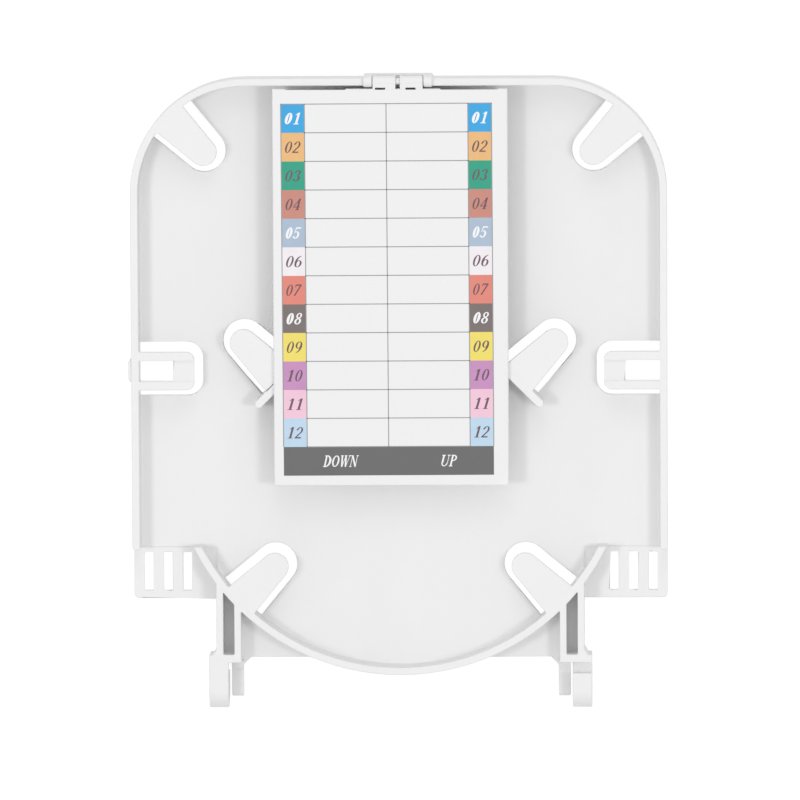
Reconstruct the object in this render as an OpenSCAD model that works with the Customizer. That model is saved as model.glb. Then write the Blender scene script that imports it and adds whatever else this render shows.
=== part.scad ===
// Fibre splice tray with a hinged cover over the splice field.
// The tray lies on its back: +Z is its open side, +Y its hinged end, and the
// origin is the centre of the round front wall, on the back face.

/* [Tray] */
// Outer width of the tray
tray_w = 150; // [140:1:170]
// From the centre of the round front wall to the outside of the back wall
back_y = 103.4; // [98:0.1:115]
// Outer radius of the round front wall
front_r = 64.4; // [62:0.1:66]
// Outer radius of the two back corners
corner_r = 32.3; // [28:0.1:36]
// Height of the walls
rim_h = 10; // [9:0.5:14]
// Thickness of the walls
wall_t = 2.1; // [1.6:0.1:2.6]
// Thickness of the floor
floor_t = 2; // [1.6:0.1:3]
// Radius of the fillet along the foot of the walls
foot_r = 0.7; // [0.3:0.1:1.2]
// How far in front of the centre the side walls end
side_end = 29; // [27:0.5:31]

/* [Fibre tongues] */
// Radius of a tongue's tip
tongue_r = 3.85; // [3:0.05:4.5]
// Angle by which each side of a tongue flares towards its root
tongue_flare = 5.7; // [2:0.1:7]
// Thickness of the tongues
tongue_t = 1.6; // [1.2:0.1:2.4]
// Gap between a tongue and the floor opening under it, seen from above
tongue_gap = 2.15; // [1.5:0.05:2.5]
// Middle of a back tongue's tip, in from the side of the tray
back_tip_side = 20.5; // [18:0.1:23]
// Middle of a back tongue's tip, in from the back of the tray
back_tip_back = 20.6; // [18:0.1:23]
// Middle of a front tongue's tip, in from the outside of the round wall
front_tip_in = 15.71; // [14:0.01:17]
// Direction of the front tongues' tips from the centre, in front of straight across
front_tip_a = 43.88; // [42:0.01:46]
// Middle of the two inner tongues' tips, across the tray
inner_tip_x = 43.5; // [43:0.1:46]
// Middle of the two inner tongues' tips, along the tray
inner_tip_y = 29.3; // [26:0.1:32]
// Thickness of the uprights that carry the inner tongues
upright_t = 2.2; // [1.6:0.1:2.6]
// Length of the uprights that carry the inner tongues
upright_l = 20.6; // [16:0.1:22]

/* [Side tabs] */
// Middle of the side tabs along the tray
tab_y = 21.4; // [18:0.1:24]
// Width of a side tab
tab_w = 10.75; // [9:0.05:13]
// How far a side tab reaches in from the wall
tab_reach = 15.6; // [13:0.1:17]
// Corner radius of a side tab
tab_r = 2.3; // [1:0.1:3]
// Width of the channel along a side tab
channel_w = 6; // [4:0.1:7]
// Depth of the channel along a side tab
channel_d = 0.7; // [0.3:0.1:1]
// Length of the window through a side tab
window_l = 9.7; // [7:0.1:10]
// How far the lug on the left wall stands out
lug_out = 0.85; // [0.4:0.05:1.5]

/* [Fibre ports] */
// How far in front of the centre the port floors reach
port_end = 43.5; // [42:0.1:45]
// Thickness of the port floors
port_t = 1.7; // [1.4:0.1:2]
// Length of a cable tie slot
slot_l = 10.8; // [8:0.1:11.5]
// Width of a cable tie slot
slot_w = 2.5; // [2:0.1:3.5]
// Spacing of the cable tie slots
slot_pitch = 5.45; // [5:0.05:5.6]
// Middle of the row of cable tie slots, in from the side of the tray
slot_in = 9.6; // [9:0.1:11]
// Middle of the cable tie slots in front of the centre
slot_y = 35.9; // [35:0.1:37]

/* [Hinge feet] */
// Middle of the clip hooks, across the tray
hook_x = 51; // [50.5:0.1:52]
// Width of a clip hook
hook_w = 5.4; // [4:0.1:6]
// Middle of the hinge rod in front of the centre
hook_y = 69; // [68:0.1:71]
// Radius of the hinge rod that the hooks clip on
rod_r = 2.9; // [2:0.1:3.1]
// Opening that the rod snaps in through
mouth = 3; // [2:0.1:4]
// Thickness of the feet's ribs
rib_t = 1.9; // [1.5:0.1:2.2]
// Width of the pocket between the feet's ribs
pocket_w = 3.1; // [2.5:0.1:3.5]
// End of the pocket between the ribs, in front of the centre
pocket_end = 58.6; // [57:0.1:59.5]
// Front of the cross bar that ends the ribs, in front of the centre
bar_end = 60.9; // [60.5:0.1:61.5]
// Front edge of the apron plate between the feet, in front of the centre
apron_end = 60.2; // [59.5:0.1:60.5]
// End of the narrow finger beside each hook, in front of the centre
finger_end = 71.3; // [70:0.1:73]
// Width of the narrow finger beside each hook
finger_w = 3.3; // [2.4:0.1:3.4]

/* [Cover] */
// Width of the cover
cover_w = 65.7; // [62:0.1:68]
// Length of the cover
cover_l = 111.25; // [108:0.05:114]
// Thickness of the cover
cover_t = 1.5; // [1.2:0.1:2]
// Middle of the cover, across the tray
cover_x = -2.2; // [-3:0.1:0]
// Gap between the cover's hinged edge and the back wall
cover_gap = 0.75; // [0.5:0.05:1]
// Depth of the two reliefs in the cover's hinged edge
relief_d = 0.5; // [0.2:0.1:1]
// Length of the left relief
left_relief_l = 16.7; // [10:0.1:18]
// Length of the right relief
right_relief_l = 16; // [10:0.1:18]
// Distance of the left relief from the cover's left edge
left_relief_x = 3.75; // [2:0.05:6]
// Distance of the right relief from the cover's right edge
right_relief_x = 2.65; // [2:0.05:6]

/* [Cover hinge] */
// Radius of the hinge pin
pin_r = 0.9; // [0.7:0.05:1]
// Outer radius of the hinge barrels
barrel_r = 1.65; // [1.5:0.05:1.8]
// Width of each of the cover's two barrels
barrel_w = 6.4; // [5:0.1:7]
// Gap between the cover's two barrels
barrel_split = 1.2; // [0.8:0.1:2]
// Width of the bosses that hold the pin's ends
boss_w = 2.4; // [1.8:0.1:3]
// Radial clearance of the barrels on the hinge pin
pin_clear = 0.1; // [0.02:0.01:0.1]
// Clearance beside the barrels and under them
hinge_clear = 0.2; // [0.1:0.05:0.3]

/* [Label] */
// Thickness of the label sheet
sheet_t = 0.2; // [0.1:0.05:0.4]
// Bare edge of the cover around the label sheet
sheet_inset = 0.25; // [0.1:0.05:1]
// Length of the sheet's curled corner, along each edge
curl_l = 4.6; // [2:0.1:7]
// Radius that the sheet's corner is curled to
curl_r = 9; // [6:0.5:20]

/* [Splice combs] */
// Spacing of the splice places
row_pitch = 8; // [7:0.1:8.4]
// Number of splice places along a comb
rows = 12; // [6:1:12]
// Diameter of the splice sleeves that the combs hold
sleeve_d = 3; // [2.4:0.1:3.4]
// Thickness of a comb finger
finger_t = 1.3; // [1:0.1:1.6]
// Width of a comb across the tray
comb_w = 9; // [6:0.5:10]
// Distance of each comb from the middle of the cover
comb_x = 17; // [14:0.5:20]
// Diameter of the studs that place a comb
stud_d = 3; // [2:0.1:4]
// Clearance of a sleeve between its two fingers
sleeve_clear = 0.1; // [0.05:0.05:0.3]
// Clearance of the studs in the comb, and of the comb under the cover
comb_clear = 0.2; // [0.1:0.05:0.4]

/* [Hidden] */
$fn = 96;
slack = 0.01;
half_w = tray_w / 2;
inner_w = half_w - wall_t;
back_in = back_y - wall_t;
rim_gap = 0.8;
fillet_stop = 0.5;
arc_end = side_end - rim_gap;
wall_end_r = 0.9;
port_r = 1.4;
upright_away = 15.15;
slot_x = half_w - slot_in;
corner_mid = [half_w - corner_r, back_y - corner_r];
back_tip = [half_w - back_tip_side, back_y - back_tip_back];
front_tip = (front_r - front_tip_in) * [cos(front_tip_a), -sin(front_tip_a)];
back_root = root_l(back_tip - corner_mid, 45, corner_r - wall_t / 2);
front_root = root_l(front_tip, -45, front_r - wall_t / 2);
tab_tip = inner_w - tab_reach;
channel_end = 0.4;
window_step = 0.2;
flare_out = 2.1;
rib_out = hook_x + hook_w / 2 - flare_out;
rib_in = rib_out - 2 * rib_t - pocket_w;
apron_w = 2 * rib_in + 2 * slack;
hook_r = rim_h / 2;
limb_t = hook_r - rod_r;
neck_y = bar_end - 2.2;
flare_y = 56.9;
finger_z = hook_r - rod_r;
finger_ramp = 3.1;
finger_step = 0.4;
gusset_l = 2.5;
cover_back = back_in - cover_gap;
cover_front = cover_back - cover_l;
nick_x = [-4.9, 3.6];
nick_l = 2.8;
nick_w = 0.6;
seat_out = 0.8;
axis_y = back_y + seat_out - barrel_r;
barrels_w = 2 * barrel_w + barrel_split;
notch_w = barrels_w + 2 * hinge_clear;
notch_z = rim_h - barrel_r - hinge_clear;
bore_r = pin_r + pin_clear;
snap_grip = 0.13;
snap_w = 2 * (pin_r - snap_grip);
sheet_z = rim_h + cover_t;
comb_y = (cover_back + cover_front) / 2 + 2.5;
comb_h = rim_h - floor_t - 2 * comb_clear;
curl_a = 30;
curl_steps = 8;
comb_base = 1.4;
comb_l = rows * row_pitch;
stud_h = 1;
lip = 0.2;
lip_h = 0.9;

// Distance from the point p to the circle of radius r around the origin, in the direction a.
function root_l(p, a, r) =
    let (along = p * [cos(a), sin(a)])
    sqrt(along * along - p * p + r * r) - along;

// One side of a shape, and the same shape on the other side.
module both_sides() {
    children();
    mirror([1, 0, 0]) children();
}

// Plan of the tray behind its centre, drawn in from the outside by inset.
module plan_2d(inset, front) {
    r = corner_r - inset;
    w = half_w - inset;
    b = back_y - inset;
    translate([-w, -front]) square([2 * w, b - r + front]);
    translate([r - w, 0]) square([2 * (w - r), b]);
    for (side = [-1, 1]) translate([side * (w - r), b - r]) circle(r);
}

// Everything inside the walls.
module inside_2d() {
    plan_2d(wall_t, arc_end);
    circle(front_r - wall_t);
}

// Plan of the floor with its two ports.
module floor_2d() {
    plan_2d(0, 0);
    translate([port_r - half_w, -port_end]) square([tray_w - 2 * port_r, port_end]);
    translate([-half_w, port_r - port_end]) square([tray_w, port_end]);
    for (side = [-1, 1]) translate([side * (half_w - port_r), port_r - port_end]) circle(port_r);
    circle(front_r);
}

// Tongue with its tip at the origin, pointing along +X.
module tongue_2d(r, root) {
    side_x = r * sin(tongue_flare);
    side_y = r * cos(tongue_flare);
    root_y = side_y + (root + side_x) * tan(tongue_flare);
    circle(r);
    polygon([[side_x, side_y], [-root, root_y], [-root, -root_y], [side_x, -side_y]]);
}

// The three tongues of the right side, grown by gap, with their roots longer by past.
module tongues_2d(gap, past, inner_root) {
    r = tongue_r + gap;
    translate(back_tip) rotate(225) tongue_2d(r, back_root + past);
    translate(front_tip) rotate(135) tongue_2d(r, front_root + past);
    translate([inner_tip_x, inner_tip_y]) rotate(45) tongue_2d(r, inner_root);
}

// Side tab of the right side, grown by gap.
module tab_2d(gap) {
    r = tab_r + gap;
    x = tab_tip - gap;
    w = tab_w / 2 + gap;
    translate([x + r, tab_y - w]) square([inner_w - x - r + slack, 2 * w]);
    translate([x, tab_y - w + r]) square([r + slack, 2 * (w - r)]);
    for (side = [-1, 1]) translate([x + r, tab_y + side * (w - r)]) circle(r);
}

// Openings in the floor under the tongues and the side tabs.
module floor_openings_2d() {
    intersection() {
        union() {
            tongues_2d(tongue_gap, wall_t, upright_away - upright_t / 2 - slack);
            tab_2d(tongue_gap);
        }
        inside_2d();
    }
}

// Row of cable tie slots of the right port.
module tie_slots_2d() {
    for (i = [-1:1]) {
        translate([slot_x + i * slot_pitch - slot_w / 2, -slot_y - slot_l / 2]) square([slot_w, slot_l]);
    }
}

// Walls: the long one round the back and sides, and the round one in front.
module walls() {
    linear_extrude(rim_h) {
        difference() {
            plan_2d(0, side_end - wall_end_r);
            plan_2d(wall_t, side_end + slack);
        }
        both_sides() {
            end_w = wall_t - wall_end_r;
            translate([half_w - wall_t, -side_end]) square([end_w, wall_end_r]);
            translate([half_w - wall_t + end_w, wall_end_r - side_end]) intersection() {
                circle(wall_end_r);
                translate([0, -wall_end_r]) square(wall_end_r);
            }
        }
        difference() {
            circle(front_r);
            circle(front_r - wall_t);
            translate([-front_r, -arc_end]) square([2 * front_r, 2 * front_r]);
        }
    }
}

// Section of the fillet at the foot of a wall, at the distance x.
module fillet_2d(x) {
    translate([x, floor_t]) difference() {
        translate([-foot_r, -slack]) square([foot_r + slack, foot_r + slack]);
        translate([-foot_r, foot_r]) circle(foot_r);
    }
}

// Fillets along the inner foot of the walls.
module foot_fillets() {
    side_l = side_end + back_y - corner_r;
    arc_a = acos((arc_end + fillet_stop) / (front_r - wall_t));
    both_sides() {
        translate([0, back_y - corner_r, 0]) rotate([90, 0, 0]) linear_extrude(side_l) fillet_2d(inner_w);
        translate([half_w - corner_r, back_y - corner_r, 0]) rotate_extrude(angle = 90) {
            fillet_2d(corner_r - wall_t);
        }
    }
    translate([corner_r - half_w, 0, 0]) rotate([90, 0, 90]) linear_extrude(tray_w - 2 * corner_r) {
        fillet_2d(back_in);
    }
    rotate(270 - arc_a) rotate_extrude(angle = 2 * arc_a) fillet_2d(front_r - wall_t);
}

// Side tab: two rails, a window and a channel that runs out over the wall.
module side_tab() {
    translate([0, 0, rim_h - tongue_t]) linear_extrude(tongue_t) tab_2d(0);
}

// Window and channel of the right side tab, with the channel ending at end_x.
module tab_cuts(end_x) {
    end_r = 1.2;
    w = channel_w / 2;
    translate([inner_w - window_l, tab_y - w + window_step, floor_t]) {
        cube([window_l, channel_w - 2 * window_step, rim_h]);
    }
    translate([0, 0, rim_h - channel_d]) linear_extrude(channel_d + slack) {
        translate([tab_tip - slack, tab_y - w]) square([end_x - end_r - tab_tip, channel_w]);
        translate([tab_tip, tab_y - w + end_r]) square([end_x - tab_tip, channel_w - 2 * end_r]);
        for (side = [-1, 1]) translate([end_x - end_r, tab_y + side * (w - end_r)]) circle(end_r);
    }
}

// Lug on the outside of the left wall.
module lug() {
    r = 0.8;
    w = channel_w / 2;
    linear_extrude(rim_h - channel_d) {
        translate([-half_w - lug_out + r, tab_y - w]) square([lug_out + wall_t / 2 - r, channel_w]);
        translate([-half_w - lug_out, tab_y - w + r]) square([lug_out + wall_t / 2, channel_w - 2 * r]);
        for (side = [-1, 1]) translate([r - half_w - lug_out, tab_y + side * (w - r)]) circle(r);
    }
}

// Upright that carries the right inner tongue.
module inner_upright() {
    r = upright_t / 2;
    translate([inner_tip_x, inner_tip_y]) rotate(45) translate([-upright_away, 0]) {
        linear_extrude(rim_h) {
            translate([-r, r - upright_l / 2]) square([upright_t, upright_l - upright_t]);
            for (side = [-1, 1]) translate([0, side * (upright_l / 2 - r)]) circle(r);
        }
    }
}

// Section of the hook, standing on its closed limb, with the rod's middle at the origin.
module hook_2d() {
    difference() {
        union() {
            circle(hook_r);
            translate([-hook_r, 0]) square([2 * hook_r, hook_y - neck_y]);
        }
        circle(rod_r);
        translate([-rod_r, 0]) square([2 * rod_r, hook_y - bar_end]);
        translate([0, hook_y - bar_end - mouth]) square([hook_r + slack, mouth]);
    }
}

// Right foot: two ribs with a pocket, a cross bar, and the gusset to the apron.
module foot() {
    meet_y = sqrt(front_r * front_r - rib_out * rib_out) - wall_t;
    difference() {
        translate([rib_in, -bar_end, 0]) cube([rib_out - rib_in, bar_end - meet_y, rim_h]);
        translate([rib_in + rib_t, -pocket_end, floor_t]) cube([pocket_w, pocket_end, rim_h]);
        translate([0, 0, -slack]) cylinder(r = front_r - wall_t / 2, h = rim_h + 2 * slack);
    }
    outer = hook_x + hook_w / 2;
    linear_extrude(rim_h) {
        polygon([
            [rib_out - rib_t, -flare_y], [rib_out, -flare_y], [outer, -bar_end], [outer, -bar_end - slack],
            [outer - hook_w, -bar_end - slack], [outer - hook_w, -pocket_end], [rib_out - rib_t, -pocket_end]
        ]);
    }
    linear_extrude(floor_t) {
        polygon([
            [rib_in + slack, -apron_end + gusset_l + slack], [rib_in + slack, -apron_end - gusset_l],
            [rib_in - gusset_l, -apron_end], [rib_in - gusset_l, -apron_end + gusset_l + slack]
        ]);
    }
}

// Hook of a foot; front tells whether its mouth is on the open side of the tray.
module hook(front) {
    flip = front ? 0 : 1;
    translate([hook_x - hook_w / 2, -hook_y, hook_r]) mirror([0, 0, flip]) {
        rotate([90, 0, 90]) linear_extrude(hook_w) rotate(90) mirror([0, 1, 0]) hook_2d();
    }
}

// Narrow finger that backs the rod beside each hook.
module finger() {
    round_r = 1.2;
    translate([rib_in - finger_step, 0, 0]) rotate([90, 0, 90]) linear_extrude(finger_w) {
        polygon([
            [-bar_end + slack, 0], [-bar_end + slack, finger_z + finger_ramp], [-bar_end - finger_ramp, finger_z],
            [round_r - finger_end, finger_z], [round_r - finger_end, 0]
        ]);
        translate([-finger_end, 0]) square([round_r + slack, finger_z - round_r]);
        intersection() {
            translate([round_r - finger_end, finger_z - round_r]) circle(round_r);
            translate([-finger_end, 0]) square([2 * round_r, finger_z]);
        }
    }
}

// Bosses on the back wall that hold the ends of the hinge pin, and the pin.
module hinge_seat() {
    span = notch_w + 2 * boss_w;
    for (side = [-1, 1]) translate([side * (notch_w + boss_w) / 2, axis_y, 0]) {
        translate([0, 0, rim_h]) rotate([0, 90, 0]) cylinder(r = barrel_r, h = boss_w, center = true);
        translate([-boss_w / 2, -barrel_r, notch_z - 1]) cube([boss_w, 2 * barrel_r, rim_h - notch_z + 1]);
    }
    translate([-span / 2, back_in, 0]) cube([span, axis_y + barrel_r - back_in, notch_z]);
    translate([0, axis_y, rim_h]) rotate([0, 90, 0]) cylinder(r = pin_r, h = span - boss_w, center = true);
}

// Studs on the floor that place one comb.
module studs() {
    for (end = [-1, 1]) {
        translate([0, comb_y + end * (comb_l / 2 - row_pitch), floor_t - slack]) cylinder(d = stud_d, h = stud_h);
    }
}

module tray_body() color("whitesmoke") {
    difference() {
        union() {
            linear_extrude(floor_t) floor_2d();
            walls();
            foot_fillets();
            translate([-apron_w / 2, -apron_end, 0]) cube([apron_w, apron_end, floor_t]);
        }
        translate([0, 0, -slack]) linear_extrude(floor_t + foot_r + 2 * slack) both_sides() {
            floor_openings_2d();
            tie_slots_2d();
        }
        both_sides() translate([half_w, -port_end, port_t]) mirror([1, 0, 0]) {
            cube([half_w - rib_out, port_end - side_end, floor_t]);
        }
        translate([-notch_w / 2, back_in - slack, notch_z]) cube([notch_w, wall_t + 2 * slack, rim_h]);
    }
    difference() {
        union() {
            both_sides() {
                translate([0, 0, rim_h - tongue_t]) linear_extrude(tongue_t) {
                    tongues_2d(0, 0, upright_away);
                }
                side_tab();
            }
            lug();
        }
        tab_cuts(half_w - channel_end);
        mirror([1, 0, 0]) tab_cuts(half_w + lug_out + 2);
    }
    both_sides() {
        inner_upright();
        foot();
        finger();
    }
    hook(true);
    mirror([1, 0, 0]) hook(false);
    hinge_seat();
    for (side = [-1, 1]) translate([cover_x + side * comb_x, 0, 0]) studs();
}

// Comb lying along Y: a base with a pair of fingers for each splice place.
module comb() {
    slot = sleeve_d + sleeve_clear;
    difference() {
        union() {
            translate([-comb_w / 2, -comb_l / 2, 0]) cube([comb_w, comb_l, comb_base]);
            for (i = [0:rows - 1]) translate([0, (i + 0.5 - rows / 2) * row_pitch, 0]) {
                for (side = [-1, 1]) {
                    y = side * (slot + finger_t) / 2;
                    translate([-comb_w / 2, y - finger_t / 2, 0]) cube([comb_w, finger_t, comb_h]);
                    translate([-comb_w / 2, y - finger_t / 2 - lip, comb_h - lip_h]) {
                        cube([comb_w, finger_t + 2 * lip, lip_h]);
                    }
                }
            }
        }
        for (end = [-1, 1]) translate([0, end * (comb_l / 2 - row_pitch), -slack]) {
            cylinder(d = stud_d + 2 * comb_clear, h = stud_h + comb_clear + slack);
        }
    }
}

module splice_comb_left() color("white") {
    translate([cover_x - comb_x, comb_y, floor_t]) comb();
}

module splice_comb_right() color("white") {
    translate([cover_x + comb_x, comb_y, floor_t]) comb();
}

// Cover plate with two barrels that snap on the hinge pin.
module splice_cover() color("white") {
    relief_y = cover_back - relief_d;
    difference() {
        union() {
            translate([cover_x - cover_w / 2, cover_front, rim_h]) cube([cover_w, cover_l, cover_t]);
            for (side = [-1, 1]) translate([side * (barrel_w + barrel_split) / 2, 0, 0]) {
                translate([-barrel_w / 2, cover_back - slack, rim_h]) {
                    cube([barrel_w, axis_y - cover_back, cover_t]);
                }
                translate([0, axis_y, rim_h]) rotate([0, 90, 0]) cylinder(r = barrel_r, h = barrel_w, center = true);
            }
        }
        translate([0, axis_y, rim_h]) rotate([0, 90, 0]) {
            cylinder(r = bore_r, h = barrels_w + 1, center = true);
        }
        translate([-barrels_w / 2 - 1, axis_y - snap_w / 2, rim_h - barrel_r - 1]) {
            cube([barrels_w + 2, snap_w, barrel_r + 1]);
        }
        translate([cover_x - cover_w / 2 + left_relief_x, relief_y, rim_h - 1]) {
            cube([left_relief_l, relief_d + 1, cover_t + 2]);
        }
        translate([cover_x + cover_w / 2 - right_relief_x - right_relief_l, relief_y, rim_h - 1]) {
            cube([right_relief_l, relief_d + 1, cover_t + 2]);
        }
        for (x = nick_x) translate([x - nick_l / 2, cover_back - nick_w / 2, rim_h - 1]) {
            cube([nick_l, nick_w, cover_t + 2]);
        }
    }
}

// Section across the sheet's curl: flat up to the origin, then bent up.
module curl_2d(flat) {
    under = [for (i = [0:curl_steps]) let (a = i * curl_a / curl_steps) curl_r * [sin(a), 1 - cos(a)]];
    over = [for (i = [curl_steps:-1:0]) let (a = i * curl_a / curl_steps) [
        (curl_r - sheet_t) * sin(a), curl_r - (curl_r - sheet_t) * cos(a)
    ]];
    polygon(concat([[-flat, 0]], under, over, [[-flat, sheet_t]]));
}

// Label sheet, lying on the cover, with its front right corner curled up.
module label_sheet() color("white") {
    w = cover_w - 2 * sheet_inset;
    l = cover_l - 2 * sheet_inset;
    translate([cover_x + w / 2, cover_front + sheet_inset, sheet_z]) intersection() {
        translate([-w, 0, 0]) cube([w, l, curl_r]);
        rotate(-45) translate([-curl_l / sqrt(2), 0, 0]) rotate([90, 0, 0]) {
            linear_extrude(2 * (w + l), center = true) curl_2d(w + l);
        }
    }
}

tray_body();
splice_comb_left();
splice_comb_right();
splice_cover();
label_sheet();
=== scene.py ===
"""Looks of a fibre splice tray: the moulding, its splice combs, the hinged cover and the label."""

import logging
import math
from dataclasses import dataclass, field
from enum import Enum
from typing import Any, ClassVar, Iterable, Optional, Union

import bmesh
import bpy
from mathutils import Matrix, Vector
from mathutils.bvhtree import BVHTree


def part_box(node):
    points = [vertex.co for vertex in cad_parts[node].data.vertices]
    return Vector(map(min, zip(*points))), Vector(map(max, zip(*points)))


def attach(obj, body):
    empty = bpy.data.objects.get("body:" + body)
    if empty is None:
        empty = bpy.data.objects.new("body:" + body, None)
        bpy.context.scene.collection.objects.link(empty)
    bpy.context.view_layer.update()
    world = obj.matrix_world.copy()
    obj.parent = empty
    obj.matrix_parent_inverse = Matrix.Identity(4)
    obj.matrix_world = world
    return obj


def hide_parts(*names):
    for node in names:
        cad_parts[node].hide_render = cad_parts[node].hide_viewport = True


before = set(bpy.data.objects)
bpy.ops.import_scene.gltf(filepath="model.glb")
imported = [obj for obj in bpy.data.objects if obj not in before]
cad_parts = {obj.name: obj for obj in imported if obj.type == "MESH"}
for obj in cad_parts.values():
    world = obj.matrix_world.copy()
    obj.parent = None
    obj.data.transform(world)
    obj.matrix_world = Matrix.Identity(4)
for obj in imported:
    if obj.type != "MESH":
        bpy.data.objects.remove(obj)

LOG = logging.getLogger("splice_tray")
MM = 0.001
Number = Union[int, float]
# most of a noise's values lie between these two
NOISE_LOW, NOISE_HIGH = 0.3, 0.7
# sockets of a Mix node that mixes colours
MIX_SHARE, MIX_FIRST, MIX_SECOND, MIX_RESULT = 0, 6, 7, 2


class Layer(Enum):
    """How high a printed layer stands on the label film, in steps of ink."""

    FIELD = 1
    RULE = 2
    GLYPH = 3


class Ink(Enum):
    """The two inks that the numbers and words are printed in."""

    DARK = "dark"
    WHITE = "white"


class Stroke(Enum):
    """The kinds of stroke that the pen draws, by the name of its method."""

    BAR = "bar"
    SERIF = "serif"
    BOWL = "bowl"
    DOT = "dot"


# ---------------------------------------------------------------- shader maths


class Wire:
    """A shader socket that takes part in Python expressions.

    Args:
        shader: The shader that the socket's node belongs to.
        socket: The output socket.
    """

    def __init__(self, shader: "Shader", socket: bpy.types.NodeSocket) -> None:
        """Keeps the shader and the socket."""
        self.shader = shader
        self.socket = socket

    def _math(self, operation: str, first: Any, second: Any) -> "Wire":
        """Adds one Math node."""
        return self.shader.node("ShaderNodeMath", {"operation": operation}, {0: first, 1: second})

    def __add__(self, other: Any) -> "Wire":
        """Sum."""
        return self._math("ADD", self, other)

    __radd__ = __add__

    def __sub__(self, other: Any) -> "Wire":
        """Difference."""
        return self._math("SUBTRACT", self, other)

    def __rsub__(self, other: Any) -> "Wire":
        """Difference from a number."""
        return self._math("SUBTRACT", other, self)

    def __mul__(self, other: Any) -> "Wire":
        """Product."""
        return self._math("MULTIPLY", self, other)

    __rmul__ = __mul__

    def remap(self, low: Number, high: Number, to_low: Number, to_high: Number) -> "Wire":
        """Maps a range onto another, clamped.

        Args:
            low: Start of the incoming range.
            high: End of the incoming range.
            to_low: Value at its start.
            to_high: Value at its end.

        Returns:
            The mapped value.
        """
        return self.shader.node("ShaderNodeMapRange", {}, {0: self, 1: low, 2: high, 3: to_low, 4: to_high})


class Shader:
    """The nodes of a material, or of the world, under construction.

    Args:
        owner: The new material or world.
    """

    def __init__(self, owner: Union[bpy.types.Material, bpy.types.World]) -> None:
        """Starts an empty node tree."""
        self.owner = owner
        owner.use_nodes = True
        self.tree = owner.node_tree
        self.tree.nodes.clear()

    @classmethod
    def material(cls, name: str) -> "Shader":
        """Starts a new material under the given name."""
        return cls(bpy.data.materials.new(name))

    def node(
        self, kind: str, settings: dict, values: dict, output: Union[int, str] = 0
    ) -> Optional[Wire]:
        """Adds a node, sets it and links it.

        Args:
            kind: The node's type.
            settings: Its own settings, which are set first.
            values: Numbers, tuples or wires for its inputs, by index or name.
            output: The output that is returned.

        Returns:
            The chosen output, or None for a node without outputs.
        """
        made = self.tree.nodes.new(kind)
        for key, value in settings.items():
            setattr(made, key, value)
        for key, value in values.items():
            self.feed(made.inputs[key], value)
        return Wire(self, made.outputs[output]) if len(made.outputs) else None

    def feed(self, target: bpy.types.NodeSocket, value: Any) -> None:
        """Links a wire to a socket, or sets the socket to a number or tuple.

        Args:
            target: The input socket.
            value: A wire, number or tuple.
        """
        if isinstance(value, Wire):
            self.tree.links.new(value.socket, target)
        else:
            target.default_value = value

    def place(self) -> Wire:
        """Object coordinates, which are the tray's own frame in metres."""
        return self.node("ShaderNodeTexCoord", {}, {}, "Object")

    def noise(self, where: Wire, size_mm: float, detail: float = 2.0, stretch: tuple = (1, 1, 1)) -> Wire:
        """Noise whose features have about the given size.

        Args:
            where: The coordinates.
            size_mm: Feature size in millimetres.
            detail: Octaves.
            stretch: Scale of the coordinates along each axis.

        Returns:
            The noise value, about 0 to 1.
        """
        at = self.node("ShaderNodeMapping", {}, {"Vector": where, "Scale": stretch})
        scale = 1 / (size_mm * MM)
        return self.node("ShaderNodeTexNoise", {}, {"Vector": at, "Scale": scale, "Detail": detail})

    def blend(self, share: Any, first: tuple, second: tuple) -> Wire:
        """Mixes two colours by a share from 0 to 1."""
        inputs = {MIX_SHARE: share, MIX_FIRST: (*first, 1), MIX_SECOND: (*second, 1)}
        return self.node("ShaderNodeMix", {"data_type": "RGBA"}, inputs, MIX_RESULT)

    def bump(self, height: Wire, depth_mm: float) -> Wire:
        """Normal of a surface whose height varies by the given depth."""
        inputs = {"Strength": 1.0, "Distance": depth_mm * MM, "Height": height}
        return self.node("ShaderNodeBump", {}, inputs)

    def surface(self, values: dict) -> bpy.types.Material:
        """Ends the material in a Principled shader.

        Args:
            values: The shader's inputs, by name.

        Returns:
            The material.
        """
        shader = self.node("ShaderNodeBsdfPrincipled", {}, values)
        self.node("ShaderNodeOutputMaterial", {}, {"Surface": shader})
        return self.owner


# -------------------------------------------------------------------- finishes


def linear(red: int, green: int, blue: int) -> tuple:
    """The scene-linear colour of three display values from 0 to 255."""
    share = [v / 255 for v in (red, green, blue)]
    return tuple(v / 12.92 if v <= 0.04045 else ((v + 0.055) / 1.055) ** 2.4 for v in share)


def shade(colour: tuple, factor: float) -> tuple:
    """A colour made darker or lighter by a factor."""
    return tuple(min(1.0, v * factor) for v in colour)


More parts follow.
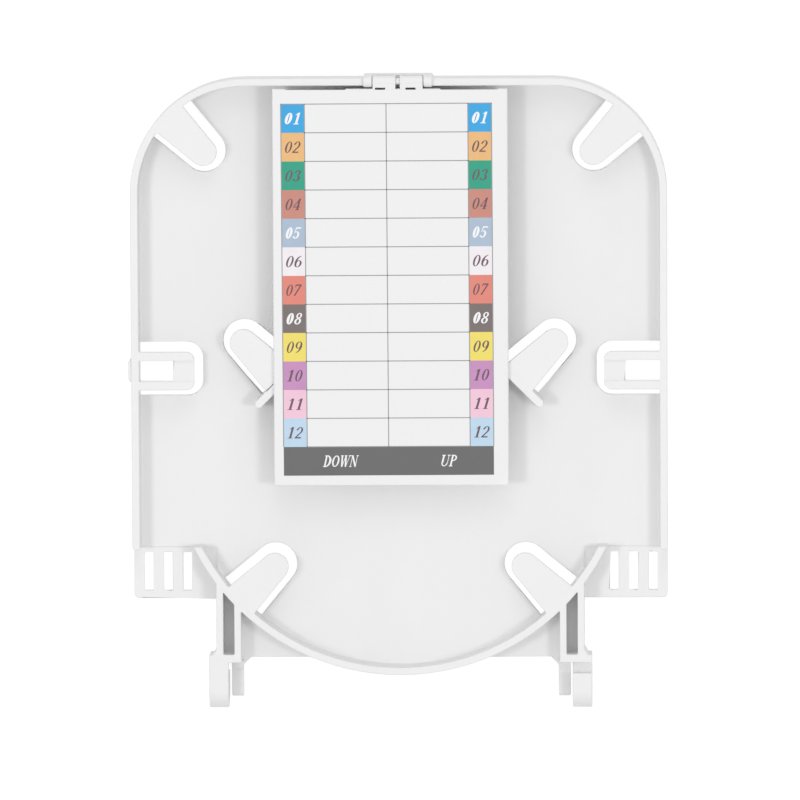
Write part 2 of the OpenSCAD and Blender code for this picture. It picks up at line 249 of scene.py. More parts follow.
@dataclass(frozen=True)
class MouldedPlastic:
    """White moulded plastic with a fine spark-eroded grain and faint flow lines.

    Attributes:
        colour: Base colour.
        roughness: Middle roughness.
        grain_mm: Size of the mould's grain.
        grain_depth_mm: Depth of the grain.
        flow: Strength of the cloudy variation from the melt's flow.
        cloud_mm: Size of those clouds.
        speck_mm: Size of the specks in them.
        spread: How far the clouds change the roughness.
        speckle: How far the specks change it.
    """

    colour: tuple
    roughness: float = 0.42
    grain_mm: float = 0.35
    grain_depth_mm: float = 0.006
    flow: float = 0.012
    cloud_mm: float = 22.0
    speck_mm: float = 1.6
    spread: float = 0.05
    speckle: float = 0.06

    def make(self, name: str) -> bpy.types.Material:
        """Builds the material.

        Args:
            name: The material's name.

        Returns:
            The material.
        """
        s = Shader.material(name)
        where = s.place()
        cloud = s.noise(where, self.cloud_mm, 3.0, (1, 0.5, 1))
        speck = s.noise(where, self.speck_mm, 2.0)
        share = (cloud * 0.8 + speck * 0.2).remap(NOISE_LOW, NOISE_HIGH, 0, 1)
        colour = s.blend(share, shade(self.colour, 1 - self.flow), shade(self.colour, 1 + self.flow))
        grain = s.noise(where, self.grain_mm, 3.0)
        low, high = self.roughness - self.spread, self.roughness + self.spread
        rough = cloud.remap(NOISE_LOW, NOISE_HIGH, low, high) + (speck - 0.5) * self.speckle
        return s.surface(
            {
                "Base Color": colour,
                "Roughness": rough,
                "IOR": 1.5,
                "Normal": s.bump(grain, self.grain_depth_mm),
            }
        )


@dataclass(frozen=True)
class LabelFilm:
    """Smooth white label film, a little glossier than the plastic and faintly uneven.

    Attributes:
        colour: Base colour.
        roughness: Middle roughness.
        wave_mm: Size of the film's slight waves.
        fibre_mm: Size of the paper's fibres under it.
        tint: Strength of the fibres' tone.
        spread: How far the fibres change the roughness.
        depth_mm: Depth of the waves.
    """

    colour: tuple
    roughness: float = 0.3
    wave_mm: float = 18.0
    fibre_mm: float = 0.5
    tint: float = 0.007
    spread: float = 0.04
    depth_mm: float = 0.05

    def make(self, name: str) -> bpy.types.Material:
        """Builds the material.

        Args:
            name: The material's name.

        Returns:
            The material.
        """
        s = Shader.material(name)
        where = s.place()
        wave = s.noise(where, self.wave_mm, 1.0)
        fibre = s.noise(where, self.fibre_mm, 3.0, (1, 3, 1))
        share = fibre.remap(NOISE_LOW, NOISE_HIGH, 0, 1)
        colour = s.blend(share, shade(self.colour, 1 - self.tint), shade(self.colour, 1 + self.tint))
        low, high = self.roughness - self.spread, self.roughness + self.spread
        rough = fibre.remap(NOISE_LOW, NOISE_HIGH, low, high)
        normal = s.bump(wave * 0.8 + fibre * 0.02, self.depth_mm)
        return s.surface({"Base Color": colour, "Roughness": rough, "IOR": 1.48, "Normal": normal})


@dataclass(frozen=True)
class PrintInk:
    """Ink on the film, with the fine mottle of a digital print.

    Attributes:
        colour: Base colour.
        mottle: Strength of the mottle.
        dot_mm: Size of the print's dots.
        cloud_mm: Size of its uneven patches.
        glossy: Roughness where the ink is thick.
        matt: Roughness where it is thin.
    """

    colour: tuple
    mottle: float = 0.05
    dot_mm: float = 0.28
    cloud_mm: float = 3.5
    glossy: float = 0.3
    matt: float = 0.42

    def make(self, name: str) -> bpy.types.Material:
        """Builds the material.

        Args:
            name: The material's name.

        Returns:
            The material.
        """
        s = Shader.material(name)
        where = s.place()
        dots = s.noise(where, self.dot_mm, 2.0)
        cloud = s.noise(where, self.cloud_mm, 2.0)
        share = (dots * 0.6 + cloud * 0.4).remap(NOISE_LOW, NOISE_HIGH, 0, 1)
        colour = s.blend(share, shade(self.colour, 1 - self.mottle), shade(self.colour, 1 + self.mottle))
        rough = dots.remap(NOISE_LOW, NOISE_HIGH, self.glossy, self.matt)
        return s.surface({"Base Color": colour, "Roughness": rough, "IOR": 1.48})


PLASTIC = MouldedPlastic(colour=(0.83, 0.83, 0.835))
COMB_PLASTIC = MouldedPlastic(colour=(0.82, 0.82, 0.825), roughness=0.48, grain_mm=0.5)
COVER_PLASTIC = MouldedPlastic(colour=(0.83, 0.83, 0.835), roughness=0.36)
FILM = LabelFilm(colour=linear(236, 236, 237))
# largest angle between faces that is shaded smooth, on the mouldings and on the film
MOULD_SMOOTH_DEG = 50
FILM_SMOOTH_DEG = 25


# ---------------------------------------------------------------- mesh helpers


def finished(
    name: str,
    bm: bmesh.types.BMesh,
    materials: Iterable[bpy.types.Material],
    body: str,
    smooth_deg: Optional[float] = None,
) -> bpy.types.Object:
    """Turns a bmesh into a piece that rides on a body.

    Args:
        name: The piece's name.
        bm: The mesh, in the tray's frame in metres. It is freed.
        materials: The piece's materials, in slot order.
        body: The body that it rides on.
        smooth_deg: Largest angle that is shaded smooth, or None for flat.

    Returns:
        The new object.
    """
    mesh = bpy.data.meshes.new(name)
    bm.to_mesh(mesh)
    bm.free()
    for material in materials:
        mesh.materials.append(material)
    if smooth_deg is not None:
        soften_normals(mesh, smooth_deg)
    piece = bpy.data.objects.new(name, mesh)
    bpy.context.scene.collection.objects.link(piece)
    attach(piece, body)
    return piece


def merged_copy(node: str, weld_mm: float) -> bmesh.types.BMesh:
    """Copies a CAD node's mesh and joins its loose triangles.

    Args:
        node: The CAD node.
        weld_mm: Distance under which points are joined.

    Returns:
        The joined mesh, with flat faces made whole.
    """
    bm = bmesh.new()
    bm.from_mesh(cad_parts[node].data)
    bmesh.ops.remove_doubles(bm, verts=bm.verts, dist=weld_mm * MM)
    bmesh.ops.dissolve_degenerate(bm, edges=bm.edges, dist=weld_mm * MM * 0.5)
    bmesh.ops.dissolve_limit(bm, angle_limit=math.radians(0.6), verts=bm.verts, edges=bm.edges)
    return bm


def soften_normals(mesh: bpy.types.Mesh, limit_deg: float) -> None:
    """Shades a mesh smooth, with each face weighted by its area, so that large ones look flat.

    Args:
        mesh: The mesh.
        limit_deg: Largest angle between faces that is shaded smooth.
    """
    limit = math.cos(math.radians(limit_deg))
    facing = [face.normal.copy() for face in mesh.polygons]
    around: list = [[] for _ in mesh.vertices]
    for face in mesh.polygons:
        for corner in face.vertices:
            around[corner].append(face.index)
    areas = [face.area for face in mesh.polygons]
    normals = []
    for face in mesh.polygons:
        own = facing[face.index]
        for corner in face.vertices:
            near = [i for i in around[corner] if facing[i].dot(own) > limit]
            total = sum((facing[i] * areas[i] for i in near), Vector())
            normals.append(total.normalized() if total.length > 0 else own)
    mesh.shade_smooth()
    mesh.normals_split_custom_set(normals)


@dataclass
class EdgeRounding:
    """Rounds the sharp edges of a moulding wherever its shape leaves room for that.

    Attributes:
        radius: Width of the rounding, in millimetres.
        weld: Distance under which mesh points are joined, in millimetres.
        sharp_deg: Smallest angle that counts as an edge.
        tries: How often the rounding is repeated without the edges that folded.
        reach: How far round a fold the edges are left sharp, in millimetres.
        reach_step: How much farther that is with each repeat.
        straight_deg: Smallest angle at which one edge runs on into the next.
        half_share: Share of a face's width that is free where both its sides are rounded.
        whole_share: Share that is free where one side is.
        drift: How far the rounding may leave the old surface, in millimetres.
        drift_share: The same, as a further share of the radius.
    """

    radius: float
    weld: float = 0.03
    sharp_deg: float = 40.0
    tries: int = 6
    reach: float = 0.6
    reach_step: float = 0.4
    straight_deg: float = 150.0
    half_share: float = 0.45
    whole_share: float = 0.9
    drift: float = 0.05
    drift_share: float = 0.35

    # square metres under which a triangle or a face is too small to judge
    SLIVER: ClassVar[float] = 1e-12
    SPECK: ClassVar[float] = 1e-10
    # cosine under which a triangle faces away from the old surface
    TURNED: ClassVar[float] = -0.3

    def room(self, edge: bmesh.types.BMEdge, sharp: set) -> float:
        """How wide a rounding fits between an edge and its neighbours.

        Args:
            edge: The edge.
            sharp: All the sharp edges.

        Returns:
            The width in metres.
        """
        width = math.inf
        for end in edge.verts:
            along = edge.other_vert(end).co - end.co
            corner = True
            for other in end.link_edges:
                if other is edge or not any(other in face.edges for face in edge.link_faces):
                    continue
                angle = along.angle(other.other_vert(end).co - end.co, 0)
                if angle > math.radians(self.straight_deg):
                    corner = corner and other not in sharp
                    continue
                share = self.half_share if other in sharp else self.whole_share
                width = min(width, other.calc_length() * math.sin(angle) * share)
            if corner:
                width = min(width, edge.calc_length() * self.half_share)
        return width

    @staticmethod
    def near(edge: bmesh.types.BMEdge, point: Vector, reach: float) -> bool:
        """Whether an edge passes close to a point.

        Args:
            edge: The edge.
            point: The point.
            reach: How close, in metres.

        Returns:
            True where it does.
        """
        start, end = (v.co for v in edge.verts)
        along = end - start
        share = max(0.0, min(1.0, (point - start).dot(along) / along.length_squared))
        return (start + along * share - point).length < reach

    def folds(self, bm: bmesh.types.BMesh, before: BVHTree) -> list:
        """Points where the rounded surface is turned over or has left the moulding.

        Args:
            bm: The rounded mesh.
            before: The surface before the rounding.

        Returns:
            The points.
        """
        points = []
        furthest = (self.drift_share * self.radius + self.drift) * MM
        for corners in bm.calc_loop_triangles():
            a, b, c = (loop.vert.co for loop in corners)
            across = (b - a).cross(c - a)
            if across.length < self.SLIVER:
                continue
            middle = (a + b + c) / 3
            _, facing, _, distance = before.find_nearest(middle)
            face = corners[0].face
            turned = across.dot(facing) < self.TURNED * across.length and face.calc_area() > self.SPECK
            if turned or across.dot(face.normal) < 0 or distance > furthest:
                points.append(middle)
        return points

    def rounded(self, node: str, left_sharp: list) -> tuple:
        """Rounds a merged copy of a CAD node once.

        Args:
            node: The node's name.
            left_sharp: Points, each with its reach, round which edges are left sharp.

        Returns:
            The rounded mesh and the points where it folds.
        """
        bm = merged_copy(node, self.weld)
        before = BVHTree.FromBMesh(bm)
        limit = math.radians(self.sharp_deg)
        sharp = {e for e in bm.edges if len(e.link_faces) == 2 and e.calc_face_angle(0) > limit}
        chosen = [
            e
            for e in bm.edges
            if e in sharp
            and self.room(e, sharp) >= self.radius * MM
            and not any(self.near(e, point, reach) for point, reach in left_sharp)
        ]
        bmesh.ops.bevel(
            bm,
            geom=chosen,
            offset=self.radius * MM,
            offset_type="OFFSET",
            affect="EDGES",
            segments=2,
            profile=0.5,
            material=-1,
            loop_slide=True,
            clamp_overlap=False,
            miter_outer="ARC",
        )
        bm.normal_update()
        found = self.folds(bm, before)
        LOG.info("%s: %d of %d edges rounded, %d folds", node, len(chosen), len(sharp), len(found))
        return bm, found

    def apply(self, node: str) -> bmesh.types.BMesh:
        """Rounds a merged copy of a CAD node, leaving sharp what would fold.

        Args:
            node: The node's name.

        Returns:
            The rounded mesh.
        """
        left_sharp: list = []
        bm, found = self.rounded(node, left_sharp)
        for repeat in range(self.tries - 1):
            if not found:
                break
            bm.free()
            reach = (self.reach + self.reach_step * repeat) * MM
            left_sharp += [(point, reach) for point in found]
            bm, found = self.rounded(node, left_sharp)
        return bm


# ------------------------------------------------------------------ lettering


@dataclass
class Pen:
    """Draws one italic letter or number from thick and thin strokes, one unit high.

    Attributes:
        thick: Width of a main stroke.
        thin: Width of a hairline.
        slant: Lean to the right per unit of height.
        step_deg: Length of one straight piece of a round stroke.
        dot_segments: Sides of a round ending.
    """

    thick: float = 0.17
    thin: float = 0.055
    slant: float = 0.25
    step_deg: float = 12.0
    dot_segments: int = 12

    # radius of the inner ring before it gets its width; the outer one has 1
    INNER: ClassVar[float] = 0.5

    def bar(self, bm: bmesh.types.BMesh, start: tuple, end: tuple, width: float) -> None:
        """Adds a straight stroke whose width is measured across the page.

        Args:
            bm: The mesh.
            start: Lower end.
            end: Upper end.
            width: Width along the line of writing.
        """
        half = Vector((width / 2, 0, 0))
        ends = [Vector((*start, 0)), Vector((*end, 0))]
        corners = [ends[0] - half, ends[0] + half, ends[1] + half, ends[1] - half]
        bm.faces.new([bm.verts.new(c) for c in corners])

    def serif(self, bm: bmesh.types.BMesh, centre: tuple, length: float) -> None:
        """Adds a short flat stroke along the line of writing.

        Args:
            bm: The mesh.
            centre: Its middle.
            length: Its length.
        """
        x, y = centre
        half, rise = length / 2, self.thin / 2
        corners = [(x - half, y - rise), (x + half, y - rise), (x + half, y + rise), (x - half, y + rise)]
        bm.faces.new([bm.verts.new((*c, 0)) for c in corners])

    def bowl(
        self,
        bm: bmesh.types.BMesh,
        centre: tuple,
        radii: tuple,
        start_deg: float = 0.0,
        sweep_deg: float = 360.0,
        side: Optional[float] = None,
    ) -> None:
        """Adds a round stroke, thick at its sides and thin at its top and foot.

        Args:
            bm: The mesh.
            centre: Middle of the bowl.
            radii: Outer half width and half height.
            start_deg: Where the stroke starts, from straight right, to the left.
            sweep_deg: How far it runs round.
            side: Width at its sides, or None for a main stroke.
        """
        side = self.thick if side is None else side
        steps = max(6, int(abs(sweep_deg) / self.step_deg))
        turn = Matrix.Rotation(math.radians(start_deg), 3, "Z")
        inner = bm.verts.new(turn @ Vector((self.INNER, 0, 0)))
        outer = bm.verts.new(turn @ Vector((1, 0, 0)))
        edge = bm.edges.new((inner, outer))
        bmesh.ops.spin(
            bm,
            geom=[inner, outer, edge],
            cent=(0, 0, 0),
            axis=(0, 0, 1),
            angle=math.radians(sweep_deg),
            steps=steps,
            use_merge=abs(sweep_deg) >= 360,
        )
        hole = ((radii[0] - side) / self.INNER, (radii[1] - self.thin) / self.INNER)
        for v in bm.verts:
            wide, high = hole if v.co.length < (1 + self.INNER) / 2 else radii
            v.co = Vector((v.co.x * wide + centre[0], v.co.y * high + centre[1], 0))

    def dot(self, bm: bmesh.types.BMesh, centre: tuple, radius: float) -> None:
        """Adds the round ending of a stroke."""
        bmesh.ops.create_circle(
            bm,
            cap_ends=True,
            segments=self.dot_segments,
            radius=radius,
            matrix=Matrix.Translation((*centre, 0)),
        )


@dataclass(frozen=True)
class Glyph:
    """One letter or number as a list of strokes.

    Attributes:
        width: Advance to the next one.
        strokes: Each stroke is its kind and what the pen's method takes.
    """

    width: float
    strokes: tuple


GLYPHS = {
    "0": Glyph(0.62, ((Stroke.BOWL, (0.29, 0.5), (0.25, 0.5)),)),
    "1": Glyph(
        0.62,
        (
            (Stroke.BAR, (0.32, 0.0), (0.32, 1.0), 0.16),
            (Stroke.SERIF, (0.32, 0.03), 0.36),
            (Stroke.BAR, (0.14, 0.8), (0.3, 0.97), 0.09),
        ),
    ),
    "2": Glyph(
        0.62,
        (
            (Stroke.BOWL, (0.29, 0.7), (0.24, 0.3), -40, 200),
            (Stroke.BAR, (0.08, 0.04), (0.44, 0.56), 0.13),
            (Stroke.BAR, (0.3, 0.0), (0.3, 0.11), 0.46),
            (Stroke.DOT, (0.1, 0.76), 0.065),
        ),
    ),
    "3": Glyph(
        0.62,
        (
            (Stroke.BOWL, (0.28, 0.75), (0.21, 0.25), -75, 235, 0.14),
            (Stroke.BOWL, (0.28, 0.27), (0.25, 0.27), -150, 240, 0.16),
            (Stroke.DOT, (0.1, 0.8), 0.06),
            (Stroke.DOT, (0.08, 0.18), 0.06),
        ),
    ),
    "4": Glyph(
        0.62,
        (
            (Stroke.BAR, (0.4, 0.0), (0.4, 1.0), 0.15),
            (Stroke.BAR, (0.06, 0.28), (0.4, 0.98), 0.07),
            (Stroke.BAR, (0.3, 0.24), (0.3, 0.31), 0.52),
            (Stroke.SERIF, (0.4, 0.03), 0.28),
        ),
    ),
    "5": Glyph(
        0.62,
        (
            (Stroke.BOWL, (0.27, 0.32), (0.25, 0.32), -150, 265, 0.16),
            (Stroke.BAR, (0.12, 0.5), (0.16, 0.98), 0.07),
            (Stroke.BAR, (0.33, 0.88), (0.33, 1.0), 0.4),
            (Stroke.DOT, (0.08, 0.16), 0.06),
        ),
    ),
    "6": Glyph(
        0.62,
        (
            (Stroke.BOWL, (0.3, 0.31), (0.25, 0.31)),
            (Stroke.BOWL, (0.42, 0.42), (0.39, 0.58), 95, 92, 0.15),
        ),
    ),
    "7": Glyph(
        0.62,
        (
            (Stroke.BAR, (0.33, 0.88), (0.33, 1.0), 0.46),
            (Stroke.BAR, (0.18, 0.0), (0.52, 0.92), 0.13),
            (Stroke.BAR, (0.09, 0.74), (0.12, 0.98), 0.06),
        ),
    ),
    "8": Glyph(
        0.62,
        (
            (Stroke.BOWL, (0.29, 0.76), (0.21, 0.24), 0, 360, 0.12),
            (Stroke.BOWL, (0.29, 0.27), (0.25, 0.27), 0, 360, 0.15),
        ),
    ),
    "9": Glyph(
        0.62,
        (
            (Stroke.BOWL, (0.28, 0.69), (0.25, 0.31)),
            (Stroke.BOWL, (0.16, 0.58), (0.39, 0.58), -85, 92, 0.15),
        ),
    ),
    "D": Glyph(
        0.78,
        (
            (Stroke.BAR, (0.18, 0.0), (0.18, 1.0), 0.15),
            (Stroke.BOWL, (0.26, 0.5), (0.46, 0.5), -90, 180),
            (Stroke.SERIF, (0.2, 0.03), 0.34),
            (Stroke.SERIF, (0.2, 0.97), 0.34),
        ),
    ),
    "O": Glyph(0.78, ((Stroke.BOWL, (0.38, 0.5), (0.35, 0.5), 0, 360, 0.16),)),
    "W": Glyph(
        0.98,
        (
            (Stroke.BAR, (0.3, 0.0), (0.14, 1.0), 0.15),
            (Stroke.BAR, (0.3, 0.0), (0.5, 0.96), 0.06),
            (Stroke.BAR, (0.66, 0.0), (0.5, 1.0), 0.15),
            (Stroke.BAR, (0.66, 0.0), (0.88, 0.96), 0.06),
            (Stroke.SERIF, (0.14, 0.97), 0.26),
            (Stroke.SERIF, (0.5, 0.97), 0.26),
            (Stroke.SERIF, (0.88, 0.97), 0.22),
        ),
    ),
    "N": Glyph(
        0.86,
        (
            (Stroke.BAR, (0.16, 0.0), (0.16, 1.0), 0.06),
            (Stroke.BAR, (0.64, 0.0), (0.16, 1.0), 0.16),
            (Stroke.BAR, (0.64, 0.0), (0.64, 1.0), 0.06),
            (Stroke.SERIF, (0.16, 0.03), 0.22),
            (Stroke.SERIF, (0.13, 0.97), 0.22),
            (Stroke.SERIF, (0.66, 0.97), 0.22),
        ),
    ),
    "U": Glyph(
        0.78,
        (
            (Stroke.BAR, (0.16, 0.3), (0.16, 1.0), 0.15),
            (Stroke.BAR, (0.61, 0.3), (0.61, 1.0), 0.06),
            (Stroke.BOWL, (0.36, 0.3), (0.275, 0.3), 180, 180, 0.1),
            (Stroke.SERIF, (0.16, 0.97), 0.3),
            (Stroke.SERIF, (0.61, 0.97), 0.24),
        ),
    ),
    "P": Glyph(
        0.68,
        (
            (Stroke.BAR, (0.18, 0.0), (0.18, 1.0), 0.15),
            (Stroke.BOWL, (0.26, 0.73), (0.33, 0.27), -90, 180, 0.14),
            (Stroke.SERIF, (0.18, 0.03), 0.32),
            (Stroke.SERIF, (0.2, 0.97), 0.3),
        ),
    ),
}


@dataclass
class Words:
    """A short word or number, written with the pen.

    Attributes:
        text: What it says.
        centre: Its middle on the label, in millimetres.
        size: Width and height in millimetres.
        pen: The pen.
    """

    text: str
    centre: tuple
    size: tuple
    pen: Pen = field(default_factory=Pen)

    # how far each stroke lies over the last, in millimetres
    LIFT: ClassVar[float] = 0.002

    def outline(self) -> bmesh.types.BMesh:
        """Draws the strokes flat, one unit high, each a little over the last.

        Returns:
            The strokes as open faces, with the pen's lean.
        """
        line = bmesh.new()
        advance, step = 0.0, 0
        for letter in self.text:
            glyph = GLYPHS[letter]
            for kind, *sizes in glyph.strokes:
                part = bmesh.new()
                getattr(self.pen, kind.value)(part, *sizes)
                bmesh.ops.translate(part, verts=part.verts, vec=(advance, 0, step * self.LIFT))
                step += 1
                self._pour(part, line)
            advance += glyph.width
        for v in line.verts:
            v.co.x += self.pen.slant * v.co.y
        return line

    def write(self, bm: bmesh.types.BMesh, top: float, ink: float) -> None:
        """Adds the strokes, each a thin closed plate.

        Args:
            bm: The mesh that takes the strokes.
            top: Height of the film's surface, in millimetres.
            ink: Height of the ink above it, in millimetres.
        """
        line = self.outline()
        low = min(v.co.x for v in line.verts)
        high = max(v.co.x for v in line.verts)
        scale = (self.size[0] / (high - low), self.size[1], 1.0)
        bmesh.ops.translate(line, verts=line.verts, vec=(-(low + high) / 2, -0.5, 0))
        bmesh.ops.scale(line, verts=line.verts, vec=scale)
        bmesh.ops.recalc_face_normals(line, faces=line.faces)
        down = [f for f in line.faces if f.normal.z < 0]
        bmesh.ops.reverse_faces(line, faces=down)
        plate = bmesh.ops.extrude_face_region(line, geom=list(line.faces))
        raised = [g for g in plate["geom"] if isinstance(g, bmesh.types.BMVert)]
        bmesh.ops.translate(line, verts=raised, vec=(0, 0, ink))
        bmesh.ops.recalc_face_normals(line, faces=line.faces)
        bmesh.ops.translate(line, verts=line.verts, vec=(self.centre[0], self.centre[1], top))
        self._pour(line, bm)

    @staticmethod
    def _pour(source: bmesh.types.BMesh, target: bmesh.types.BMesh) -> None:
        """Adds one mesh to another and frees the first.

        Args:
            source: The mesh that is added.
            target: The mesh that takes it.
        """
        held = bpy.data.meshes.new("held")
        source.to_mesh(held)
        source.free()
        target.from_mesh(held)
        bpy.data.meshes.remove(held)


# ------------------------------------------------------------- sub-assemblies


@dataclass
class TrayMoulding:
    """The moulded tray with its rounded edges.

    Attributes:
        edges: Rounding of its edges.
    """

    edges: EdgeRounding = field(default_factory=lambda: EdgeRounding(0.28))

    def build(self) -> list:
        """Builds and dresses the tray.

        Returns:
            The pieces.
        """
        bm = self.edges.apply("tray_body")
        plastic = PLASTIC.make("tray_plastic")
        piece = finished("tray_moulding", bm, [plastic], "tray", MOULD_SMOOTH_DEG)
        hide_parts("tray_body")
        return [piece]


@dataclass
class SpliceCombs:
    """The two combs that hold the splice sleeves under the cover.

    Attributes:
        nodes: Names of the combs.
    """

    nodes: tuple = ("splice_comb_left", "splice_comb_right")

    def build(self) -> list:
        """Dresses both combs.

        Returns:
            The pieces.
        """
        plastic = COMB_PLASTIC.make("comb_plastic")
        combs = [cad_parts[node] for node in self.nodes]
        for comb in combs:
            comb.data.materials.clear()
            comb.data.materials.append(plastic)
        return combs


@dataclass
class Cover:
    """The hinged cover plate with its two barrels.

    Attributes:
        edges: Rounding of its edges.
    """

    edges: EdgeRounding = field(default_factory=lambda: EdgeRounding(0.22))

    def build(self) -> list:
        """Builds and dresses the cover.

        Returns:
            The pieces.
        """
        bm = self.edges.apply("splice_cover")
        plastic = COVER_PLASTIC.make("cover_plastic")
        piece = finished("cover_plate", bm, [plastic], "cover", MOULD_SMOOTH_DEG)
        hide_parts("splice_cover")
        return [piece]


@dataclass
class Label:
    """The printed label: film, number fields, rules and lettering.

    Attributes:
        centre: Middle of the printed frame, in millimetres.
        turn_deg: How far the print is turned on the film.
        width: Width of the printed frame.
        pitch: Height of a row.
        rows: Number of rows.
        band: Height of the dark band under the rows.
        field_w: Width of a number field.
        rule: Width of a ruled line.
        ink: Height of one layer of ink.
        numeral: Width and height of a row number.
        words: The words in the band, each with its middle across the frame and its width.
        film_t: Thickness of the film.
        film_weld: Distance under which the film's mesh points are joined.
        height: Height of the printed frame.
        top: Height of the film's upper surface.
        turn: The turn of the print.
    """

    centre: tuple = (-3.08, 44.32)
    turn_deg: float = 0.18
    width: float = 58.8
    pitch: float = 8.01
    rows: int = 12
    band: float = 8.09
    field_w: float = 6.6
    rule: float = 0.26
    ink: float = 0.006
    numeral: tuple = (4.35, 3.2)
    words: tuple = (("DOWN", -13.4, 10.1), ("UP", 16.9, 4.4))
    film_t: float = 0.2
    film_weld: float = 0.01
    height: float = field(init=False)
    top: float = field(init=False)
    turn: Matrix = field(init=False)

    FIELDS: ClassVar[tuple] = (
        ("blue", (56, 165, 223), Ink.WHITE),
        ("orange", (232, 183, 123), Ink.DARK),
        ("green", (44, 160, 131), Ink.DARK),
        ("brown", (200, 137, 123), Ink.DARK),
        ("slate", (170, 188, 207), Ink.WHITE),
        ("white", (238, 233, 237), Ink.DARK),
        ("red", (224, 134, 119), Ink.DARK),
        ("black", (121, 111, 109), Ink.WHITE),
        ("yellow", (237, 219, 106), Ink.DARK),
        ("violet", (197, 142, 189), Ink.DARK),
        ("rose", (239, 197, 215), Ink.DARK),
        ("aqua", (188, 214, 234), Ink.DARK),
    )
    BAND_COLOUR: ClassVar[tuple] = (104, 104, 104)
    RULE_COLOUR: ClassVar[tuple] = (150, 150, 150)
    INK_COLOURS: ClassVar[dict] = {Ink.DARK: (108, 84, 92), Ink.WHITE: (243, 243, 245)}
    PENS: ClassVar[dict] = {Ink.DARK: Pen(thick=0.14, thin=0.05), Ink.WHITE: Pen(thick=0.21, thin=0.08)}

    def __post_init__(self) -> None:
        """Works out the frame's height and the film's surface."""
        self.height = self.rows * self.pitch + self.band
        # a curled corner stands above the flat film, so the surface is found from its underside
        low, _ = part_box("label_sheet")
        self.top = low.z / MM + self.film_t
        self.turn = Matrix.Rotation(math.radians(self.turn_deg), 4, "Z")

    def row_y(self, row: int) -> float:
        """Upper edge of a row, from the frame's middle."""
        return self.height / 2 - row * self.pitch

    def plate(self, bm: bmesh.types.BMesh, box: tuple, layer: Layer, material: int = 0) -> None:
        """Adds a printed rectangle as a thin closed plate.

        Args:
            bm: The mesh.
            box: Left, right, lower and upper edge, from the frame's middle.
            layer: The layer of ink.
            material: Index of its material.
        """
        left, right, low, high = box
        thick = self.ink * layer.value
        size = Matrix.Diagonal((right - left, high - low, thick, 1))
        at = Matrix.Translation(((left + right) / 2, (low + high) / 2, self.top + thick / 2))
        made = bmesh.ops.create_cube(bm, size=1, matrix=at @ size)
        for face in {f for v in made["verts"] for f in v.link_faces}:
            face.material_index = material

    def settle(self, bm: bmesh.types.BMesh) -> bmesh.types.BMesh:
        """Turns a layer with the print, moves it to the label and makes it metres.

        Args:
            bm: The layer, in millimetres from the frame's middle.

        Returns:
            The same mesh.
        """
        place = Matrix.Translation((*self.centre, 0)) @ self.turn
        bmesh.ops.transform(bm, matrix=Matrix.Scale(MM, 4) @ place, verts=bm.verts)
        return bm

    def film(self) -> bpy.types.Object:
        """Builds the film with its curled corner.

        Returns:
            The piece.
        """
        bm = merged_copy("label_sheet", self.film_weld)
        film = FILM.make("label_film")
        piece = finished("label_film", bm, [film], "cover", FILM_SMOOTH_DEG)
        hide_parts("label_sheet")
        return piece

    def fields(self) -> bpy.types.Object:
        """Prints the coloured number fields and the dark band.

        Returns:
            The piece.
        """
        bm = bmesh.new()
        half = self.width / 2
        inks = []
        for row, (name, colour, _) in enumerate(self.FIELDS):
            inks.append(PrintInk(linear(*colour)).make(f"ink_{name}"))
            high, low = self.row_y(row), self.row_y(row + 1)
            self.plate(bm, (-half, self.field_w - half, low, high), Layer.FIELD, row)
            self.plate(bm, (half - self.field_w, half, low, high), Layer.FIELD, row)
        inks.append(PrintInk(linear(*self.BAND_COLOUR), mottle=0.03).make("ink_band"))
        self.plate(bm, (-half, half, -self.height / 2, self.row_y(self.rows)), Layer.FIELD, self.rows)
        return finished("label_fields", self.settle(bm), inks, "cover")

    def rules(self) -> bpy.types.Object:
        """Prints the ruled lines.

        Returns:
            The piece.
        """
        bm = bmesh.new()
        half, r = self.width / 2, self.rule / 2
        foot = self.row_y(self.rows)
        for row in range(self.rows + 1):
            y = self.row_y(row)
            inner = half if row == 0 else half - self.field_w
            self.plate(bm, (-inner - r, inner + r, y - r, y + r), Layer.RULE)
        for x in (-half, self.field_w - half, 0.0, half - self.field_w, half):
            self.plate(bm, (x - r, x + r, foot, self.row_y(0)), Layer.RULE)
        ink = PrintInk(linear(*self.RULE_COLOUR), mottle=0.08).make("ink_rule")
        return finished("label_rules", self.settle(bm), [ink], "cover")

    def lettering(self, ink: Ink) -> bpy.types.Object:
        """Prints the numbers and words of one ink.

        Args:
            ink: The ink.

        Returns:
            The piece.
        """
        bm = bmesh.new()
        thick = self.ink * Layer.GLYPH.value
        pen = self.PENS[ink]
        for row, (_, _, wanted) in enumerate(self.FIELDS):
            if wanted is not ink:
                continue
            y = (self.row_y(row) + self.row_y(row + 1)) / 2
            for side in (-1, 1):
                x = side * (self.width / 2 - self.field_w / 2)
                Words(f"{row + 1:02d}", (x, y), self.numeral, pen).write(bm, self.top, thick)
        if ink is Ink.WHITE:
            y = self.row_y(self.rows) - self.band / 2
            for text, x, wide in self.words:
                Words(text, (x, y), (wide, self.numeral[1]), pen).write(bm, self.top, thick)
        paint = PrintInk(linear(*self.INK_COLOURS[ink]), mottle=0.02).make(f"ink_{ink.value}")
        name = f"label_lettering_{ink.value}"
        return finished(name, self.settle(bm), [paint], "cover")

    def build(self) -> list:
        """Builds the whole label.

        Returns:
            The pieces.
        """
        printed = [self.film(), self.fields(), self.rules()]
        return printed + [self.lettering(Ink.DARK), self.lettering(Ink.WHITE)]


# --------------------------------------------------------------------- studio


